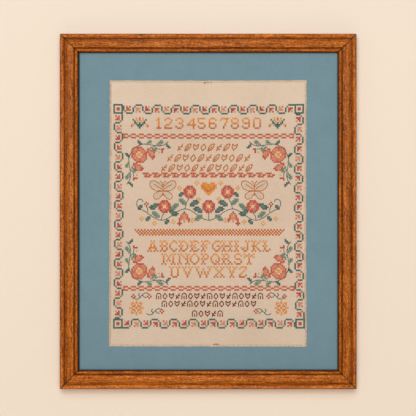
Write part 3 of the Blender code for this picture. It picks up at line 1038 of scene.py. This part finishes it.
paper, tree, shader = surface("mat_paper", 0.9, 0.2)
paper_fibre = noise(tree, places(tree), 1500, 5.0, 0.7)
paper_cloud = noise(tree, places(tree), 60, 3.0)
paper_colour = mix(tree, ramp(tree, paper_fibre, (0.35, grey(0)), (0.75, grey(1))), linear(*PAPER_BLUE), linear(*PAPER_FIBRE))
paper_colour = mix(tree, 1.0, paper_colour, ramp(tree, paper_cloud, (0.3, grey(0.97)), (0.7, grey(1.03))), "MULTIPLY")
# Painted shade where the mat meets the rails' lips
plain = add(tree, "ShaderNodeSeparateXYZ", {0: places(tree)}).node
to_lip = 1.0
for side, axis, inwards in (("left", 0, 1), ("right", 0, -1), ("bottom", 2, 1), ("top", 2, -1)):
    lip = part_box("rail_" + side)[1 if inwards > 0 else 0][axis]
    from_lip = maths(tree, "MULTIPLY_ADD", plain.outputs[axis], inwards, LIP_SHADE_LESS[side] - inwards * lip)
    to_lip = maths(tree, "MINIMUM", to_lip, from_lip)
to_lip = maths(tree, "DIVIDE", to_lip, LIP_SHADE_WIDTH)
lip_shade = ramp(tree, to_lip, *zip((0.0, 0.34, 0.52), LIP_SHADE), (1.0, grey(1.0)))
paper_colour = mix(tree, 1.0, paper_colour, lip_shade, "MULTIPLY")
# Painted shade: the mat's paper a little darker towards its bottom
height = {"Value": plain.outputs[2], "From Min": mat_low.z, "From Max": mat_high.z}
painted_shade_by_height = ramp(tree, add(tree, "ShaderNodeMapRange", height), (0.0, grey(0.92)), (0.22, grey(1.0)))
paper_colour = mix(tree, 1.0, paper_colour, painted_shade_by_height, "MULTIPLY")
tree.links.new(paper_colour, shader.inputs["Base Color"])
relief(tree, shader, paper_fibre, 0.0001, 0.35)
core, tree, shader = surface("mat_core", 0.9, 0.2)
core_fibre = noise(tree, places(tree), 2200, 4.0, 0.7)
core_spots = ramp(tree, noise(tree, places(tree), 420, 4.0, 0.65), (0.40, grey(0.2)), (0.62, grey(0.9)))
core_height = add(tree, "ShaderNodeSeparateXYZ", {0: places(tree)}, output=2)
under_top = maths(tree, "LESS_THAN", core_height, window_z + WINDOW_HEIGHT / 2 - 2 * mat_thickness)
core_spots = maths(tree, "MULTIPLY", core_spots, under_top)
core_colour = mix(tree, core_spots, linear(*CORE_CREAM), linear(*CORE_STAINED))
core_shade = ramp(tree, core_fibre, (0.3, grey(0.85)), (0.7, grey(1.04)))
core_colour = mix(tree, 1.0, core_colour, core_shade, "MULTIPLY")
tree.links.new(core_colour, shader.inputs["Base Color"])
relief(tree, shader, core_fibre, 0.0001, 0.5)
dress(mat, paper, core)
for polygon in mat.data.polygons:
    polygon.material_index = 1 if 0.1 < abs(polygon.normal.y) < 0.9 else 0
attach(mat, "root")
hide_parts("window_mat")

# Rails: four lengths of one stained oak moulding, sawn at 45 degrees and joined at the corners.
# The moulding has a bead outside, a hollow, a broad band with a ridge, a groove and a small bead at the sight edge.
REBATE_WIDTH = 0.0055
REBATE_DEPTH = 0.008
MITRE_GAP = 0.0003
OUTER_BEAD = ((0.0027, 0.0125), 0.0027, 180, 12)
OUTER_GROOVE = (0.0057, 0.0121)
BAND_START = (0.0089, 0.0133)
BAND_RIDGE = (0.0149, 0.0141)
INNER_GROOVE = (0.0163, 0.0123)
INNER_BEAD = ((0.0183, 0.0112), 0.0020, 160, 0)
SIGHT_EDGE_HEIGHT = 0.0105
HOLLOW_SAG = -0.0002
BAND_CROWN = 0.00025
RIDGE_ROUND = 0.0003
BEAD_STEPS = 20
CURVE_STEPS = 10
ARRIS = 0.00016
MITRE_DARK_WIDTH = 0.0012
OAK_LIGHT = (208, 116, 34)
OAK_MIDDLE = (178, 92, 16)
OAK_DARK = (136, 60, 4)
OAK_PORE = (86, 34, 4)
OAK_BLOOM = (200, 127, 72)
OAK_BARE = (188, 148, 102)
BARE_DEPTH = 0.0002
# How light each length is: the two across are lighter
RAIL_TONES = {"bottom": 1.12, "left": 0.96, "top": 1.07, "right": 0.95}
# The stain's light across the moulding, from the outer edge at 0 to the sight edge at 1, with painted shade in the
# grooves and at the sight edge and painted highlight on the beads
STAIN_AND_PAINTED_LIGHT = (
    (0.0, 0.50), (0.04, 0.82), (0.08, 1.16), (0.20, 1.04), (0.258, 0.65), (0.30, 0.60), (0.37, 0.84),
    (0.45, 0.98), (0.56, 0.94), (0.64, 0.93), (0.70, 1.06), (0.745, 0.76), (0.785, 0.42), (0.835, 0.72),
    (0.90, 1.0), (0.95, 0.64), (0.978, 0.24), (1.0, 0.12),
)
RAIL_NODES = (("bottom", 0), ("left", 90), ("top", 180), ("right", 270))

rail_low, rail_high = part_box("rail_top")
rail_width = rail_high.z - rail_low.z
frame_width = cad_high.x - cad_low.x
frame_height = cad_high.z - cad_low.z


def bead(centre, radius, start, end):
    """Points over a bead, from one angle to another."""
    turns = [math.radians(start + (end - start) * step / BEAD_STEPS) for step in range(BEAD_STEPS + 1)]
    return [(centre[0] + radius * math.cos(t), centre[1] + radius * math.sin(t)) for t in turns]


def bow(start, end, rise):
    """Points between two ends, neither included, lifted in the middle."""
    points = []
    for step in range(1, CURVE_STEPS):
        share = step / CURVE_STEPS
        height = start[1] + (end[1] - start[1]) * share + rise * math.sin(math.pi * share)
        points.append((start[0] + (end[0] - start[0]) * share, height))
    return points


section = bead(*OUTER_BEAD) + [OUTER_GROOVE] + bow(OUTER_GROOVE, BAND_START, HOLLOW_SAG) + [BAND_START]
section += bow(BAND_START, BAND_RIDGE, BAND_CROWN) + [BAND_RIDGE] + bow(BAND_RIDGE, INNER_GROOVE, RIDGE_ROUND)
section += [INNER_GROOVE] + bead(*INNER_BEAD) + [(rail_width, SIGHT_EDGE_HEIGHT)]
section += [(rail_width, REBATE_DEPTH), (rail_width - REBATE_WIDTH, REBATE_DEPTH)]
section += [(rail_width - REBATE_WIDTH, 0.0), (0.0, 0.0)]


def stain_depth(share):
    """A share of the stain's light: where it lies thicker it is redder as well as darker."""
    return (share, share ** 1.25, share ** 2.3, 1.0)


def oak(name, tone, along, across, outer_edge, inwards, middle, half_length, shift):
    """Oak, its grain along one axis, bare behind. The stain lies darker in the grooves and is worn on the beads, and
    painted shade in the grooves and at the sight edge and painted highlight on the beads lie in it too.
    """
    material, tree, shader = surface(name, 0.42, 0.08)
    own = add(tree, "ShaderNodeSeparateXYZ", {0: places(tree)}).node
    grain = {0: own.outputs[along], 1: own.outputs[across], 2: own.outputs[1]}
    grain = add(tree, "ShaderNodeCombineXYZ", grain)

    def stretched(lengthwise, crosswise, detail, distance=0.0):
        scale = (lengthwise, crosswise, crosswise)
        sockets = {"Vector": grain, "Scale": scale, "Location": (shift, shift * 0.7, distance)}
        return noise(tree, add(tree, "ShaderNodeMapping", sockets), 1.0, detail, 0.62)

    streaks = stretched(34, 520, 4.0)
    wide_streaks = stretched(9, 120, 3.0, 3.0)
    flame = stretched(46, 150, 3.0, 7.0)
    rings = maths(tree, "SINE", maths(tree, "MULTIPLY", flame, 46.0))
    pores = stretched(110, 900, 2.0, 11.0)
    flecks = stretched(620, 900, 3.0, 19.0)
    patches = stretched(16, 30, 2.0, 15.0)
    colour = ramp(
        tree, streaks, (0.32, linear(*OAK_DARK)), (0.48, linear(*OAK_MIDDLE)), (0.66, linear(*OAK_LIGHT))
    )
    wide_shade = ramp(tree, wide_streaks, (0.3, stain_depth(0.80)), (0.65, stain_depth(1.12)))
    colour = mix(tree, 1.0, colour, wide_shade, "MULTIPLY")
    ring_shade = ramp(tree, maths(tree, "MULTIPLY_ADD", rings, 0.5, 0.5), (0.1, grey(0.80)), (0.6, grey(1.06)))
    colour = mix(tree, 1.0, colour, ring_shade, "MULTIPLY")
    patch_shade = ramp(tree, patches, (0.3, grey(0.92 * tone)), (0.7, grey(1.08 * tone)))
    colour = mix(tree, 1.0, colour, patch_shade, "MULTIPLY")
    bloom = stretched(380, 760, 3.0, 27.0)
    colour = mix(tree, ramp(tree, bloom, (0.46, grey(0)), (0.66, grey(0.5))), colour, linear(*OAK_BLOOM))
    fleck_shade = ramp(tree, flecks, (0.36, stain_depth(0.54)), (0.63, stain_depth(1.38)))
    colour = mix(tree, 1.0, colour, fleck_shade, "MULTIPLY")
    pore_share = ramp(tree, pores, (0.55, grey(0)), (0.68, grey(0.72)))
    colour = mix(tree, pore_share, colour, linear(*OAK_PORE))
    # Stain across the moulding, with painted shade in the grooves and at the sight edge and painted highlight on the
    # beads
    from_edge = maths(tree, "MULTIPLY", maths(tree, "SUBTRACT", own.outputs[across], outer_edge), inwards)
    stain_and_painted_light = [(place, stain_depth(share)) for place, share in STAIN_AND_PAINTED_LIGHT]
    stain_and_painted_light = ramp(tree, maths(tree, "DIVIDE", from_edge, rail_width), *stain_and_painted_light)
    colour = mix(tree, 1.0, colour, stain_and_painted_light, "MULTIPLY")
    bare = mix(tree, 1.0, linear(*OAK_BARE), ramp(tree, streaks, (0.3, grey(0.72)), (0.7, grey(1.1))), "MULTIPLY")
    bare = mix(tree, pore_share, bare, linear(*OAK_DARK))
    behind = maths(tree, "GREATER_THAN", own.outputs[1], -BARE_DEPTH)
    colour = mix(tree, maths(tree, "MULTIPLY", behind, 0.85), colour, bare)
    # Darker near the mitres
    from_end = maths(tree, "ABSOLUTE", maths(tree, "SUBTRACT", own.outputs[along], middle))
    from_end = maths(tree, "SUBTRACT", half_length, from_end)
    to_mitre = maths(tree, "DIVIDE", maths(tree, "SUBTRACT", from_end, from_edge), MITRE_DARK_WIDTH)
    colour = mix(tree, 1.0, colour, ramp(tree, to_mitre, (0.3, grey(0.30)), (1.0, grey(1.0))), "MULTIPLY")
    tree.links.new(colour, shader.inputs["Base Color"])
    gloss = ramp(tree, streaks, (0.3, grey(0.50)), (0.7, grey(0.36)))
    tree.links.new(gloss, shader.inputs["Roughness"])
    height = maths(tree, "MULTIPLY_ADD", pore_share, -0.8, maths(tree, "MULTIPLY", streaks, 0.4))
    relief(tree, shader, height, 0.0001, 0.6)
    return material


for side, turn_degrees in RAIL_NODES:
    upright = side in ("left", "right")
    length = frame_height if upright else frame_width
    from_middle = (frame_width if upright else frame_height) / 2
    bpy.ops.object.select_all(action="DESELECT")
    bpy.ops.mesh.primitive_circle_add(vertices=len(section), radius=0.01, fill_type="NGON")
    rail = bpy.context.object
    rail.name = rail.data.name = "moulding_" + side
    for vertex, (inward, height) in zip(rail.data.vertices, section):
        vertex.co = (-length / 2, -height, inward - from_middle)
    rail.data.update()
    bpy.ops.object.mode_set(mode="EDIT")
    bpy.ops.mesh.select_all(action="SELECT")
    bpy.ops.mesh.extrude_region_move(TRANSFORM_OT_translate={"value": (length, 0, 0)})
    half = length / 2 - MITRE_GAP / 2 * math.sqrt(2)
    for end in (-1, 1):
        bpy.ops.mesh.select_all(action="SELECT")
        bpy.ops.mesh.bisect(
            plane_co=(end * half, 0, -from_middle), plane_no=(end, 0, 1), use_fill=True, clear_outer=True,
            threshold=1e-7,
        )
    bpy.ops.mesh.select_all(action="SELECT")
    bpy.ops.mesh.remove_doubles(threshold=1e-6)
    bpy.ops.mesh.normals_make_consistent(inside=False)
    bpy.ops.object.mode_set(mode="OBJECT")
    arris = rail.modifiers.new("arris", "BEVEL")
    arris.width = ARRIS
    arris.segments = 2
    arris.limit_method = "ANGLE"
    arris.angle_limit = math.radians(40)
    bpy.ops.object.modifier_apply(modifier=arris.name)
    rail.data.transform(
        Matrix.Translation((middle_x, 0, middle_z)) @ Matrix.Rotation(math.radians(turn_degrees), 4, "Y")
    )
    bpy.ops.object.shade_smooth_by_angle(angle=math.radians(35))
    outer_edge = {"bottom": cad_low.z, "left": cad_low.x, "top": cad_high.z, "right": cad_high.x}[side]
    inwards = 1.0 if side in ("bottom", "left") else -1.0
    grain_axes = (2, 0) if upright else (0, 2)
    middle = middle_z if upright else middle_x
    shift = turn_degrees * 0.37 + 2.0
    dress(rail, oak("oak_" + side, RAIL_TONES[side], *grain_axes, outer_edge, inwards, middle, length / 2, shift))
    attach(rail, "root")
    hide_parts("rail_" + side)

# Stage: a pale wall that the frame hangs on, see-through from behind, and a pale floor below.
WALL_COLOUR = (244, 227, 209)
WALL_GAP = 0.0012
WALL_SIZE = 6.0
FLOOR_BELOW = 1.8

bpy.ops.object.select_all(action="DESELECT")
bpy.ops.mesh.primitive_plane_add(size=WALL_SIZE, rotation=(math.radians(90), 0, 0), location=(0, WALL_GAP, middle_z))
wall = bpy.context.object
wall.name = "wall"
wall_paint, tree, shader = surface("wall_paint", 0.95, 0.1)
plaster = noise(tree, places(tree), 260, 4.0)
wall_shade = ramp(tree, plaster, (0.3, grey(0.985)), (0.7, grey(1.0)))
wall_tone = mix(tree, 1.0, linear(*WALL_COLOUR), wall_shade, "MULTIPLY")
tree.links.new(wall_tone, shader.inputs["Base Color"])
from_behind = add(tree, "ShaderNodeNewGeometry", {}, output=6)
clear = add(tree, "ShaderNodeBsdfTransparent", {})
both = add(tree, "ShaderNodeMixShader", {0: from_behind, 1: shader.outputs[0], 2: clear})
tree.links.new(both, tree.nodes["Material Output"].inputs["Surface"])
dress(wall, wall_paint)
wall.visible_shadow = False

bpy.ops.mesh.primitive_plane_add(size=WALL_SIZE, location=(0, 0, cad_low.z - FLOOR_BELOW))
floor = bpy.context.object
floor.name = "floor"
floor_paint, tree, shader = surface("floor_paint", 0.9, 0.1)
shader.inputs["Base Color"].default_value = linear(226, 216, 204)
dress(floor, floor_paint)

# Lights: a soft light from above and a little left, a broad one in front, a pale room and two lights behind
LIGHTS = (
    ("key", (-0.16, -2.20, 1.20), 1.1, 18.4, (0.60, 0.83, 1.0)),
    ("front", (-0.06, -2.60, 0.24), 1.7, 45.2, (1.0, 0.92, 0.83)),
    ("rear_left", (-1.2, 1.5, 0.6), 1.2, 26.0, (1.0, 0.97, 0.92)),
    ("rear_right", (1.3, 1.6, 0.3), 1.2, 18.0, (1.0, 0.97, 0.92)),
)
ROOM_COLOUR = (1.0, 0.98, 0.96, 1.0)
ROOM_STRENGTH = 0.25

for name, spot, size, power, tint in LIGHTS:
    light_data = bpy.data.lights.new(name, "AREA")
    light_data.size = size
    light_data.energy = power
    light_data.color = tint
    light = bpy.data.objects.new(name, light_data)
    bpy.context.scene.collection.objects.link(light)
    light.location = spot
    aim = Vector((middle_x, 0, middle_z)) - Vector(spot)
    light.rotation_euler = aim.to_track_quat("-Z", "Y").to_euler()
room = bpy.data.worlds.new("room")
room.use_nodes = True
room.node_tree.nodes["Background"].inputs["Color"].default_value = ROOM_COLOUR
room.node_tree.nodes["Background"].inputs["Strength"].default_value = ROOM_STRENGTH
bpy.context.scene.world = room
